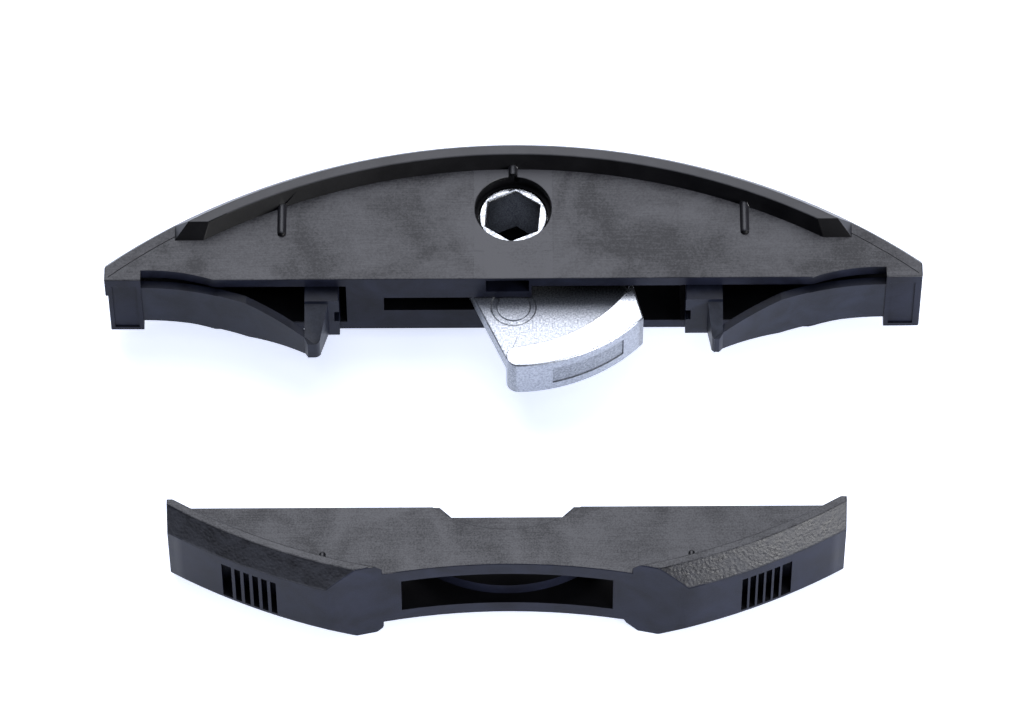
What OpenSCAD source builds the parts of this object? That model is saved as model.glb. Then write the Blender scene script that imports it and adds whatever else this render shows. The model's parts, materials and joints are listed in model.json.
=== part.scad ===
// Detachable panel connector for T-slot grooves: a lever half and a counter half, shown apart.
// Both lie flat, with the plates level, +X along the groove and +Y from the counter half to the lever half.

/* [Groove] */
// Thickness of both housings between their rims
body_t = 7; // [6.9:0.05:7.1]
// Width over the rims that run in the undercut of the groove
rim_w = 9.7; // [9.6:0.05:9.8]
// Radius of the groove cutter that the backs follow
arc_r = 50.25; // [50:0.05:50.5]
// Radial width of the flat on top of the lever housing's rims
rim_face = 0.85; // [0.7:0.05:1]
// Radial width of the flat on top of the counter housing's rims
counter_rim_face = 0.62; // [0.5:0.01:0.9]
// Radial run of the sloping wall under a rim
rim_run = 0.5; // [0.3:0.1:0.6]

/* [Lever half] */
// Length of the lever housing
lever_l = 63.4; // [63:0.1:64.2]
// Depth of the lever housing from its joint face to the top of its back
lever_depth = 13; // [12.9:0.05:13.2]
// Radial set-back of the rim edge on the lever housing
lever_setback = 1.4; // [1.2:0.1:1.5]
// Length of the lever housing's rims along X
lever_rim_l = 52.6; // [52:0.1:53]
// Distance of the lever's axis from the joint face
pivot_depth = 6.55; // [6.5:0.05:6.6]
// Diameter of the key access holes
key_hole_d = 6; // [5.9:0.1:6]
// Depth of the key access holes
key_hole_depth = 1; // [0.9:0.1:1.1]

/* [Sprung arms] */
// Distance of an arm's root from the middle
arm_root_x = 28.9; // [28.8:0.1:29]
// Thickness of an arm's leaf
arm_leaf_t = 0.65; // [0.6:0.05:1]
// Radius of the left arm's outer face
left_bend_r = 22.5; // [22:0.1:24]
// Radius of the right arm's outer face
right_bend_r = 23.8; // [22:0.1:24]
// Width of an arm where it is widest
arm_w = 4.75; // [4.6:0.05:4.8]
// Width of an arm at its nose
arm_nose_w = 1.84; // [1.6:0.1:2.4]

/* [Lever] */
// Outer radius of the claw
claw_r = 13.6; // [13.5:0.05:13.65]
// Radius of the cam face inside the claw
cam_r = 11.8; // [11.7:0.05:11.8]
// Sideways offset of the cam face's centre, which makes it pull
cam_shift = 1.04; // [1:0.02:1.1]
// Thickness of the claw
claw_t = 3.85; // [3.6:0.05:3.9]
// Thickness of the web between hub and claw
web_t = 1.5; // [1.4:0.05:1.6]
// Diameter of the hub's bosses
boss_d = 5.34; // [5.3:0.02:5.36]
// Key size, across the flats of the socket
key_af = 4; // [3.9:0.1:4.1]
// Turn of the socket from square
key_turn = -5; // [-30:1:30]

/* [Counter half] */
// Length of the counter housing
counter_l = 51.35; // [51:0.05:52]
// Depth of the counter housing's back arc, where the relief doesn't cut it
counter_depth = 8.85; // [8.7:0.05:9]
// Radial set-back of the rim edge on the counter housing
counter_setback = 1.13; // [0.9:0.01:1.2]
// Depth left at the middle of the relief
relief_depth = 5.1; // [5:0.1:5.3]
// Radius of the relief
relief_r = 51; // [49:1:53]
// Distance between the joint faces, with the halves laid apart
gap = 20.7; // [20:0.1:25]
// Sideways offset of the counter half, with the halves laid apart
counter_shift = -0.6; // [-1:0.1:1]

/* [Hidden] */
$fn = 180;
eps = 0.01;
far = 40;
body_h = body_t / 2;
rim_h = rim_w / 2;
claw_h = claw_t / 2;
web_h = web_t / 2;

// The backs' cylinders stop here, and the bevel up to the rim edges starts.
lever_bevel_z = 2.9;
counter_bevel_z = 2.9;

// Where the arcs meet the ends, and the reach of the counter half below its joint face.
arc_y = lever_depth - arc_r;
counter_arc_y = counter_depth - arc_r;
relief_y = relief_depth + relief_r;
arcs_apart = relief_y - counter_arc_y;
shoulder_rise = (arcs_apart * arcs_apart + arc_r * arc_r - relief_r * relief_r) / (2 * arcs_apart);
counter_reach = counter_arc_y + shoulder_rise;

// The origin is under the middle of the two halves together.
total_y = lever_depth + gap + counter_reach;
lever_y = total_y / 2 - lever_depth;
counter_y = lever_y - gap;

// Inside the lever housing.
shell_wall = 1;
play = 0.3;
slit_h = 0.87;
slit_x = -10.1;
pocket_h = 2.45;
pocket_x0 = 1.4;
pocket_inner_x0 = 3;
hub_space_h = 2;
slit_reach = 1.2;
swing_r = 6.3;
swing_y = 2.4;
catch_play = 0.25;
window_x = 13;
window_depth = 7;
window_back = 2.2;
sweep_r = claw_r + play;
bearing_d = boss_d + 0.08;
boss_h = body_h - key_hole_depth;
ramp_x0 = -2.15;
ramp_x1 = 1.2;
ramp_top = 0.3;
ramp_low = 1.82;
ramp_deep = 1.3;
ramp_inner_top = 1.2;
hole_through = 2;
hub_r = 5;
hex_corner = 30;
hub_shoulder_r = 3.4;
hub_shoulder_h = 1.9;

// The rims' ends on the lever housing, one slope at each side and one along the inner edge.
rim_end_run = 1.1;
rim_end_y = 3.7;
rim_end_y_run = 0.85;

// Small marks on the plates.
rib_r = 0.35;
rib_x = 18;
rib_y = 4.35;
rib_l = 2.8;
key_rib_y = 9.3;
key_rib_l = 1.2;
counter_rib_r = 0.25;
counter_rib_x = 13.9;
counter_rib_y = 4.2;
counter_rib_l = 1.3;
line_w = 0.1;
line_depth = 0.05;
line_offset = 0.15;

// The scooped edges of the walls beside the arms.
scoop_r = 15;
scoop_x = 28.4;
scoop_y = -14.07;
scoop_x0 = 22;

// The plain recessed panels on the end blocks.
panel_w = 1.9;
panel_h = 5.6;
panel_depth = 0.12;
panel_x = 30.2;
panel_z = -0.25;
end_step_in = 0.2;
end_step_z = 1.3;

// Sprung arms, measured from the middle of the housing.
arm_inset = 0.1;
arm_pin_r = arm_leaf_t / 2;
arm_socket_r = arm_pin_r + 0.03;
arm_tip_x = 15.5;
arm_post_x = 16.2;
arm_head_y0 = -1.28;
arm_head_y1 = 0.6;
arm_post_h = 2.03;
arm_nose_reach = 6;
arm_low_y = -8;
arm_taper_x = 20.9;
arm_nose_x = 15.4;
arm_step_x = 20.6;
arm_step_h = 0.1;
arm_root_step_x = 22.9;

// Plan of each arm: its head's end, its inner face, and its nose's centre, radius and flat.
left_head_x = 13.55;
left_face_x = 14.38;
left_nose = [15.47, -3.83];
left_nose_r = 0.5;
left_nose_flat = 0.48;
right_head_x = 13.35;
right_face_x = 15.05;
right_nose = [15.72, -3.61];
right_nose_r = 0.4;
right_nose_flat = 0.2;

// The notch in the end of an arm's head.
head_notch = 0.4;
head_notch_z0 = -0.44;
head_notch_z1 = 0.85;

// The claw in plan, measured from the lever's axis.
claw_end_r = 0.92;
claw_end = [0.32, -12.65];
claw_tail_out = [11.48, -15];
claw_tail_in = [9.29, -6.12];
web_points = [[-4.4, -3.5], [-0.55, -12.3], [0.5, -13.1], [9.6, -9], [9.2, -6.3], [4.9, 0.8], [-3, 4]];
mark_r = 1.7;
mark_w = 0.35;
mark_y = -7.3;
mark_depth = 0.1;

// The shallow field in the claw's outer face.
field_x0 = 3;
field_x1 = 8.5;
field_h = 1;
field_depth = 0.08;

// The counter half's claw space, measured from the lever's axis with the joint closed.
catch_r = 10.85;
claw_space_r = claw_r + play;
claw_space_h = 2.1;
web_space_h = 0.95;
slot_x = 8;
claw_space_y = 0.6;
web_space_x = -9;
entry_x0 = 8.2;
entry_x1 = 12.4;
entry_y = 1.2;
rim_stop_x = 9.4;
rim_stop_slope = 0.55;
notch_x0 = 4.2;
notch_x1 = 5.05;
notch_y = 0.92;
scallop_r = 8.9;
scallop_y = -6.93;
scallop_depth = 0.06;

// The grip slots in the counter half's wings.
grip_count = 6;
left_grip_x0 = 17.45;
left_grip_pitch = 0.68;
right_grip_x0 = 17.75;
right_grip_pitch = 0.61;
grip_w = 0.44;
grip_outer_w = 0.75;
grip_z0 = -2.6;
grip_z1 = 1.9;
grip_reach = 1.6;

module at_lever_half() {
    translate([0, lever_y, rim_h])
        children();
}

module at_counter_half() {
    translate([counter_shift, counter_y, rim_h])
        mirror([0, 1, 0])
            children();
}

module both_sides() {
    children();
    mirror([1, 0, 0])
        children();
}

module both_faces() {
    children();
    mirror([0, 0, 1])
        children();
}

// A box from its low corner to its high corner.
module span(low, high) {
    translate(low)
        cube(high - low);
}

// A bar along Y, half sunk in the plate, with a round end.
module plate_rib(r, y0, length) {
    translate([0, y0, body_h]) {
        rotate([-90, 0, 0])
            cylinder(r = r, h = length);
        sphere(r = r);
    }
}

// The section that both halves share, turned about the cutter's axis and cut off at the joint face.
module housing_blank(depth, length, setback, bevel_z, face) {
    edge_r = arc_r - setback;
    intersection() {
        translate([0, depth - arc_r, 0])
            rotate_extrude()
                polygon([
                    [0, -body_h],
                    [edge_r - face - rim_run, -body_h],
                    [edge_r - face, -rim_h],
                    [edge_r, -rim_h],
                    [arc_r, -bevel_z],
                    [arc_r, bevel_z],
                    [edge_r, rim_h],
                    [edge_r - face, rim_h],
                    [edge_r - face - rim_run, body_h],
                    [0, body_h],
                ]);
        span([-length / 2, 0, -rim_h], [length / 2, depth + 1, rim_h]);
    }
}

// The sloping ends of a rim on the lever housing.
module rim_end_cut() {
    x0 = lever_rim_l / 2;
    rise = rim_h - body_h;
    both_sides()
        translate([0, lever_depth, 0])
            rotate([90, 0, 0])
                linear_extrude(lever_depth + 1)
                    polygon([
                        [x0, body_h],
                        [x0 - rim_end_run, rim_h],
                        [x0 - rim_end_run, rim_h + 1],
                        [far, rim_h + 1],
                        [far, body_h],
                    ]);
    rotate([90, 0, 90])
        linear_extrude(2 * far, center = true)
            polygon([
                [-1, body_h],
                [rim_end_y, body_h],
                [rim_end_y + rim_end_y_run, rim_h],
                [rim_end_y + rim_end_y_run, rise + rim_h],
                [-1, rise + rim_h],
            ]);
}

// The fine line that runs on from the rim to the housing's ends.
module strip_line() {
    r = arc_r - lever_setback + line_offset;
    intersection() {
        translate([0, arc_y, body_h - line_depth])
            difference() {
                cylinder(r = r, h = 1);
                translate([0, 0, -1])
                    cylinder(r = r - line_w, h = 3);
            }
        both_sides()
            span([lever_rim_l / 2, 0, 0], [lever_l / 2 - play, lever_depth, rim_h]);
    }
}

// Space for an arm, its post and its swing inside the housing.
module arm_window() {
    intersection() {
        span([window_x, -1, shell_wall - body_h], [arm_root_x, window_depth, body_h - shell_wall]);
        translate([0, arc_y, 0])
            cylinder(r = arc_r - window_back, h = far, center = true);
    }
    translate([arm_root_x, arm_inset + arm_pin_r, 0])
        cylinder(r = arm_socket_r, h = body_t - 2 * shell_wall, center = true);
}

module wall_scoop() {
    intersection() {
        translate([scoop_x, scoop_y, 0])
            cylinder(r = scoop_r, h = far, center = true);
        span([scoop_x0, -1, -rim_h], [arm_root_x, 2, rim_h]);
    }
}

module end_panel() {
    translate([panel_x, panel_depth, panel_z])
        rotate([90, 0, 0])
            linear_extrude(1)
                square([panel_w, panel_h], center = true);
}

// Space for the hub, the web's swing and the claw when the lever is turned in.
module lever_space() {
    translate([0, pivot_depth, 0]) {
        cylinder(d = bearing_d, h = body_t - shell_wall, center = true);
        cylinder(r = hub_shoulder_r + play, h = 2 * hub_space_h, center = true);
        cylinder(r = hub_r + catch_play, h = 2 * slit_h, center = true);
        intersection() {
            cylinder(r = swing_r, h = 2 * slit_h, center = true);
            span([-far, -far, -1], [far, swing_y, 1]);
        }
        intersection() {
            cylinder(r = sweep_r, h = 2 * slit_h, center = true);
            span([0, -far, -1], [far, far, 1]);
        }
        difference() {
            cylinder(r = sweep_r, h = 2 * pocket_h, center = true);
            cylinder(r = catch_r - catch_play, h = far, center = true);
            span([-far, -far, -far], [pocket_inner_x0, far, far]);
        }
    }
    span([slit_x, -1, -slit_h], [pocket_x0 + eps, pivot_depth + slit_reach, slit_h]);
    span([pocket_x0, -1, -pocket_h], [window_x + eps, pivot_depth, pocket_h]);
}

// The ramp in the near wall that lets the lever's boss snap in.
module boss_ramp() {
    translate([ramp_x0, 0, body_h])
        rotate([90, 0, 90])
            linear_extrude(ramp_x1 - ramp_x0)
                polygon([
                    [-1, -ramp_low],
                    [-1, -ramp_top],
                    [0, -ramp_top],
                    [ramp_deep, -ramp_inner_top],
                    [ramp_deep, -ramp_low],
                ]);
}

// The housing's left end is set back below this step.
module end_step() {
    span([-far, -1, -rim_h - 1], [end_step_in - lever_l / 2, lever_depth, end_step_z]);
}

module lever_housing() {
    color("#2a2b2f")
        at_lever_half()
            difference() {
                union() {
                    difference() {
                        housing_blank(lever_depth, lever_l, lever_setback, lever_bevel_z, rim_face);
                        both_faces()
                            rim_end_cut();
                    }
                    both_faces()
                        both_sides()
                            translate([rib_x, 0, 0])
                                plate_rib(rib_r, rib_y, rib_l);
                    both_faces()
                        plate_rib(rib_r, key_rib_y, key_rib_l);
                }
                both_faces()
                    translate([0, pivot_depth, boss_h])
                        cylinder(d = key_hole_d, h = hole_through);
                lever_space();
                both_faces()
                    boss_ramp();
                both_sides()
                    arm_window();
                both_sides()
                    wall_scoop();
                both_faces()
                    strip_line();
                both_sides()
                    end_panel();
                end_step();
            }
}

// The bowed leaf of an arm, which narrows towards the nose.
module arm_leaf(bend_r) {
    bend_y = arm_inset - bend_r;
    full_h = arm_w / 2;
    mid_h = full_h - arm_step_h / 2;
    root_h = full_h - arm_step_h;
    slope = (full_h - arm_nose_w / 2) / (arm_taper_x - arm_nose_x);
    difference() {
        translate([arm_root_x, bend_y, -full_h])
            cylinder(r = bend_r + arm_leaf_t, h = arm_w);
        translate([arm_root_x, bend_y, 0])
            cylinder(r = bend_r, h = far, center = true);
        span([arm_root_x, -2 * far, -far], [3 * far, far, far]);
        span([-2 * far, -2 * far, -far], [arm_tip_x, far, far]);
        span([-far, -2 * far, -far], [far, arm_low_y, far]);
        both_faces()
            span([arm_step_x, -far, mid_h], [far, far, far]);
        both_faces()
            span([arm_root_step_x, -far, root_h], [far, far, far]);
        both_faces()
            rotate([90, 0, 0])
                linear_extrude(2 * far, center = true)
                    polygon([
                        [arm_taper_x, full_h],
                        [0, full_h - slope * arm_taper_x],
                        [0, far],
                        [arm_taper_x, far],
                    ]);
    }
    translate([arm_root_x, arm_inset + arm_pin_r, -root_h])
        cylinder(r = arm_pin_r, h = 2 * root_h);
}

// The post, head and round nose of an arm. The post falls away to the nose on both faces.
module arm_post(head_x, face_x, nose, nose_r, nose_flat) {
    full_h = arm_w / 2;
    nose_y = nose[1] - nose_r;
    fall = (arm_post_h - arm_nose_w / 2) / (arm_head_y0 - nose_y);
    difference() {
        union() {
            translate([0, 0, -full_h])
                linear_extrude(arm_w)
                    polygon([
                        [arm_post_x, arm_head_y1],
                        [head_x, arm_head_y1],
                        [head_x, arm_head_y0],
                        [face_x, arm_head_y0],
                        [nose[0] - nose_r, nose[1]],
                        [nose[0], nose_y],
                        [nose[0] + nose_flat, nose_y],
                        [arm_post_x, nose[1]],
                    ]);
            translate([nose[0], nose[1], -full_h])
                cylinder(r = nose_r, h = arm_w);
        }
        both_faces()
            rotate([90, 0, 90])
                linear_extrude(far)
                    polygon([
                        [arm_head_y0, arm_post_h],
                        [arm_head_y0 - arm_nose_reach, arm_post_h - fall * arm_nose_reach],
                        [arm_head_y0 - arm_nose_reach, far],
                        [arm_head_y0, far],
                    ]);
        span([head_x - 1, -far, head_notch_z0], [head_x + head_notch, far, head_notch_z1]);
    }
}

module left_sprung_arm() {
    color("#303136")
        at_lever_half()
            mirror([1, 0, 0]) {
                arm_leaf(left_bend_r);
                arm_post(left_head_x, left_face_x, left_nose, left_nose_r, left_nose_flat);
            }
}

module right_sprung_arm() {
    color("#303136")
        at_lever_half() {
            arm_leaf(right_bend_r);
            arm_post(right_head_x, right_face_x, right_nose, right_nose_r, right_nose_flat);
        }
}

// The thick claw: a ring between the cam face and the outer face, with a round leading end.
module claw() {
    difference() {
        intersection() {
            cylinder(r = claw_r, h = claw_t, center = true);
            linear_extrude(claw_t, center = true)
                polygon([
                    [claw_end[0], claw_tail_out[1]],
                    claw_tail_out,
                    claw_tail_in,
                    [claw_end[0], claw_tail_in[1]],
                ]);
        }
        translate([-cam_shift, 0, 0])
            cylinder(r = cam_r, h = far, center = true);
    }
    translate([claw_end[0], claw_end[1], -claw_h])
        cylinder(r = claw_end_r, h = claw_t);
}

module ring_mark() {
    translate([0, mark_y, web_h - mark_depth])
        difference() {
            cylinder(r = mark_r, h = 1);
            translate([0, 0, -1])
                cylinder(r = mark_r - mark_w, h = 3);
        }
}

module claw_field() {
    difference() {
        span([field_x0, -far, -field_h], [field_x1, 0, field_h]);
        cylinder(r = claw_r - field_depth, h = far, center = true);
    }
}

module cam_lever() {
    color("#c3c6c9")
        at_lever_half()
            translate([0, pivot_depth, 0])
                difference() {
                    union() {
                        cylinder(r = hub_r, h = web_t, center = true);
                        cylinder(r = hub_shoulder_r, h = 2 * hub_shoulder_h, center = true);
                        cylinder(d = boss_d, h = 2 * boss_h, center = true);
                        linear_extrude(web_t, center = true)
                            polygon(web_points);
                        claw();
                    }
                    rotate([0, 0, key_turn + hex_corner])
                        cylinder(d = key_af / cos(hex_corner), h = far, center = true, $fn = 6);
                    both_faces()
                        ring_mark();
                    claw_field();
                }
}

// The concave relief that leaves the lever's claw room to swing through.
module relief() {
    translate([0, relief_y, 0])
        cylinder(r = relief_r, h = far, center = true);
}

// The rims stop short of the middle, square at one face and side and sloping at the other.
module rim_stop(slope) {
    translate([0, -1, 0])
        rotate([-90, 0, 0])
            mirror([0, 1, 0])
                linear_extrude(counter_depth + 1)
                    polygon([
                        [-rim_stop_x, body_h],
                        [-rim_stop_x, rim_h + 1],
                        [rim_stop_x, rim_h + 1],
                        [rim_stop_x, rim_h],
                        [rim_stop_x - slope, body_h],
                    ]);
}

// Space that the claw sweeps inside the counter half, with catch ledges left standing at its inner side.
module claw_space() {
    translate([0, -pivot_depth, 0]) {
        difference() {
            cylinder(r = claw_space_r, h = 2 * claw_space_h, center = true);
            cylinder(r = catch_r, h = far, center = true);
            span([-far, -far, -far], [far, pivot_depth + claw_space_y, far]);
        }
        intersection() {
            cylinder(r = claw_space_r, h = 2 * web_space_h, center = true);
            span([web_space_x, pivot_depth - 1, -1], [entry_x1, far, 1]);
        }
    }
    difference() {
        span([-slot_x, 0, -claw_space_h], [slot_x, counter_depth, claw_space_h]);
        translate([0, -pivot_depth, 0])
            cylinder(r = catch_r, h = far, center = true);
    }
    span([entry_x0, -1, -claw_space_h], [entry_x1, entry_y, claw_space_h]);
}

module joint_notch() {
    translate([0, 0, -far / 2])
        linear_extrude(far)
            polygon([
                [-notch_x1, 0],
                [-notch_x0, notch_y],
                [notch_x0, notch_y],
                [notch_x1, 0],
                [notch_x1, -1],
                [-notch_x1, -1],
            ]);
    both_faces()
        translate([0, scallop_y, body_h - scallop_depth])
            cylinder(r = scallop_r, h = 1);
}

module grip_slots(start, pitch) {
    for (i = [0 : grip_count - 1]) {
        w = i == grip_count - 1 ? grip_outer_w : grip_w;
        x0 = start + i * pitch;
        back_y = counter_arc_y + sqrt(arc_r * arc_r - x0 * x0);
        span([x0, back_y - grip_reach, grip_z0], [x0 + w, counter_depth, grip_z1]);
    }
}

module counter_housing() {
    color("#2e2f33")
        at_counter_half()
            difference() {
                union() {
                    housing_blank(
                        counter_depth,
                        counter_l,
                        counter_setback,
                        counter_bevel_z,
                        counter_rim_face
                    );
                    both_faces()
                        both_sides()
                            translate([counter_rib_x, 0, 0])
                                plate_rib(counter_rib_r, counter_rib_y, counter_rib_l);
                }
                relief();
                rim_stop(0);
                mirror([0, 0, 1])
                    rim_stop(rim_stop_slope);
                claw_space();
                joint_notch();
                grip_slots(right_grip_x0, right_grip_pitch);
                mirror([1, 0, 0])
                    grip_slots(left_grip_x0, left_grip_pitch);
            }
}

lever_housing();
left_sprung_arm();
right_sprung_arm();
cam_lever();
counter_housing();
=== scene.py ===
import json
import logging
import math
from dataclasses import dataclass, field
from enum import Enum
from typing import Callable, Optional, Sequence

import bmesh
import bpy
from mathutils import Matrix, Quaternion, Vector


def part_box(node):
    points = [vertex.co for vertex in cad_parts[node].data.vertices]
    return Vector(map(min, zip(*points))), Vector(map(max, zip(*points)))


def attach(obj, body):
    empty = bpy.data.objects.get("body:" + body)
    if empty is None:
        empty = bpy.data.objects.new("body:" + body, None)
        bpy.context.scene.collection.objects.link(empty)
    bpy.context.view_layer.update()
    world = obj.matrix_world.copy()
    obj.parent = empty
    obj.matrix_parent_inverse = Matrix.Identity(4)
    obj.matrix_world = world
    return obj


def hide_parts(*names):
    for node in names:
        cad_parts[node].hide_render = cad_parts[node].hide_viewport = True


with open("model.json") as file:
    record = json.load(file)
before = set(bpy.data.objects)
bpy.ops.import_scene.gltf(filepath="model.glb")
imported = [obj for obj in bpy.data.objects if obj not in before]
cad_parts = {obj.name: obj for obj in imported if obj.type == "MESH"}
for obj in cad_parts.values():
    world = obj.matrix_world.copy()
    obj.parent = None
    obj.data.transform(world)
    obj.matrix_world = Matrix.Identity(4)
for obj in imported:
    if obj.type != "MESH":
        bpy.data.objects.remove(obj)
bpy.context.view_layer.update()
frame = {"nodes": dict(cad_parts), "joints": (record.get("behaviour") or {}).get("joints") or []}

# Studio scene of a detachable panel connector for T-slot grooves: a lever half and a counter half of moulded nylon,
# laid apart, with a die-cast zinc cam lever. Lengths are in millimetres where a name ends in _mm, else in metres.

LOG = logging.getLogger("connector")
MM = 0.001
# Slack within which a place counts as lying on a size.
NEAR_MM = 0.05
# Part of a direction along one axis above which an edge counts as running along it.
ALONG = 0.9
# Half width of the mould insert round the key hole, behind its step.
INSERT_X_MM = 3.05
# The Mix node's colour sockets, which share their names with its number sockets.
MIX_A, MIX_B, MIX_OUT = 6, 7, 2


# ---------------------------------------------------------------------------------------------------------------------
# Colour and node helpers
# ---------------------------------------------------------------------------------------------------------------------


def linear(hex_colour: str) -> tuple[float, float, float, float]:
    """Turns an sRGB hex colour into linear light.

    Args:
        hex_colour: Six hex digits after a hash sign.

    Returns:
        Red, green, blue and an alpha of 1, all linear.
    """
    digits = hex_colour.lstrip("#")
    shares = [int(digits[i : i + 2], 16) / 255 for i in (0, 2, 4)]
    bent = [c / 12.92 if c <= 0.04045 else ((c + 0.055) / 1.055) ** 2.4 for c in shares]
    return (bent[0], bent[1], bent[2], 1.0)


def add_node(
    tree: bpy.types.NodeTree,
    kind: str,
    settings: Optional[dict[str, object]] = None,
    values: Optional[dict[object, object]] = None,
    links: Optional[dict[object, bpy.types.NodeSocket]] = None,
) -> bpy.types.Node:
    """Adds one node with its settings, its socket values and its incoming links.

    Args:
        tree: The node tree that the node goes in.
        kind: The node's type name.
        settings: Properties to set on the node itself.
        values: Input socket, by name or number, to the value that it holds.
        links: Input socket, by name or number, to the output socket that feeds it.

    Returns:
        The new node.
    """
    node = tree.nodes.new(kind)
    for name, value in (settings or {}).items():
        setattr(node, name, value)
    for key, value in (values or {}).items():
        node.inputs[key].default_value = value
    for key, source in (links or {}).items():
        tree.links.new(source, node.inputs[key])
    return node


def per_metre(size_mm: float) -> float:
    """Returns the texture scale at which one feature is size_mm across."""
    return 1.0 / (size_mm * MM)


# ---------------------------------------------------------------------------------------------------------------------
# Finishes
# ---------------------------------------------------------------------------------------------------------------------


@dataclass(frozen=True)
class MouldedNylon:
    """Black glass-filled nylon, injection moulded: near-black resin with glass fibre close under the skin.

    Attributes:
        name: The material's name.
        resin: Colour of the dense, resin-rich skin.
        fibre: Colour where fibre and flow marks lighten the skin.
        cloud_mm: Size of the soft flow clouds.
        cloud_reach: Low and high ends of the cloud noise that turn resin into fibre colour.
        roughness: Mean roughness.
        roughness_spread: How far the clouds change the roughness.
        specular: Specular level, below 0.5 where the skin is dull.
        grain_mm: Size of the mould steel's spark or blast grain.
        grain_um: Height of that grain in micrometres.
        pit_mm: Size of the coarse pits, or 0 for none.
        pit_um: Depth of the coarse pits in micrometres.
        scuff_mm: Width and length of the fine scuffs, or None.
        scuff_turn_deg: Direction of the scuffs in the plate, from +X.
        scuff_share: How strongly the scuffs show.
        speckle: How far the fine grain changes the sheen, against the clouds' full reach.
        mottle: Share by which the sheen rises and falls over the skin.
        insert_mm: Half width of the brighter band that the key-hole insert leaves, or 0 for none.
        insert_share: How much brighter that band is, against the clouds' full reach.
        speckle_size: Size of the speckle, against the tool's grain.
    """

    name: str
    resin: str
    fibre: str
    cloud_mm: float = 5.0
    cloud_reach: tuple[float, float] = (0.35, 0.7)
    roughness: float = 0.42
    roughness_spread: float = 0.08
    specular: float = 0.5
    grain_mm: float = 0.12
    grain_um: float = 6.0
    pit_mm: float = 0.0
    pit_um: float = 0.0
    scuff_mm: Optional[tuple[float, float]] = None
    scuff_turn_deg: float = 0.0
    scuff_share: float = 0.0
    speckle: float = 0.15
    mottle: float = 0.12
    insert_mm: float = 0.0
    insert_share: float = 0.35
    speckle_size: float = 1.3

    def build(self) -> bpy.types.Material:
        """Makes the material.

        Returns:
            The new material.
        """
        material = bpy.data.materials.new(self.name)
        material.use_nodes = True
        tree = material.node_tree
        tree.nodes.clear()
        place = add_node(tree, "ShaderNodeTexCoord").outputs["Object"]
        clouds = add_node(
            tree,
            "ShaderNodeTexNoise",
            values={"Scale": per_metre(self.cloud_mm), "Detail": 3.0, "Roughness": 0.55, "Distortion": 0.6},
            links={"Vector": place},
        )
        cloud = add_node(
            tree,
            "ShaderNodeMapRange",
            {"clamp": True},
            {"From Min": self.cloud_reach[0], "From Max": self.cloud_reach[1]},
            {"Value": clouds.outputs["Fac"]},
        ).outputs["Result"]
        lightness = self._with_speckle(tree, place, cloud)
        if self.scuff_mm:
            lightness = self._with_scuffs(tree, place, lightness)
        if self.insert_mm:
            lightness = self._with_insert_band(tree, place, lightness)
        colour = add_node(
            tree,
            "ShaderNodeMix",
            {"data_type": "RGBA"},
            {MIX_A: linear(self.resin), MIX_B: linear(self.fibre)},
            {"Factor": lightness},
        ).outputs[MIX_OUT]
        roughness = add_node(
            tree,
            "ShaderNodeMapRange",
            {"clamp": True},
            {
                "To Min": self.roughness - self.roughness_spread,
                "To Max": self.roughness + self.roughness_spread,
            },
            {"Value": lightness},
        ).outputs["Result"]
        sheen = add_node(
            tree,
            "ShaderNodeMapRange",
            {"clamp": True},
            {"To Min": self.specular * (1 - self.mottle), "To Max": self.specular * (1 + self.mottle)},
            {"Value": lightness},
        ).outputs["Result"]
        shader = add_node(
            tree,
            "ShaderNodeBsdfPrincipled",
            # Nylon's index is about 1.53; it isn't a metal.
            values={"IOR": 1.53, "Metallic": 0.0},
            links={
                "Base Color": colour,
                "Roughness": roughness,
                "Specular IOR Level": sheen,
                "Normal": self._relief(tree, place),
            },
        )
        add_node(tree, "ShaderNodeOutputMaterial", links={"Surface": shader.outputs["BSDF"]})
        return material

    def _with_speckle(
        self, tree: bpy.types.NodeTree, place: bpy.types.NodeSocket, cloud: bpy.types.NodeSocket
    ) -> bpy.types.NodeSocket:
        """Adds the fine speckle of fibre ends to the clouds.

        A fibre's end is about 0.01 mm across, too fine to show. It is drawn a little coarser than the tool's grain.

        Args:
            tree: The material's node tree.
            place: The coordinate socket.
            cloud: The cloud value from 0 to 1.

        Returns:
            The cloud value with the speckle added.
        """
        fine = add_node(
            tree,
            "ShaderNodeTexNoise",
            values={"Scale": per_metre(self.speckle_size * self.grain_mm), "Detail": 2.0, "Roughness": 0.7},
            links={"Vector": place},
        ).outputs["Fac"]
        shift = add_node(
            tree,
            "ShaderNodeMapRange",
            {"clamp": True},
            {"From Min": 0.3, "From Max": 0.7, "To Min": -self.speckle, "To Max": self.speckle},
            {"Value": fine},
        ).outputs["Result"]
        return add_node(tree, "ShaderNodeMath", {"operation": "ADD"}, links={0: cloud, 1: shift}).outputs["Value"]

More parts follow.
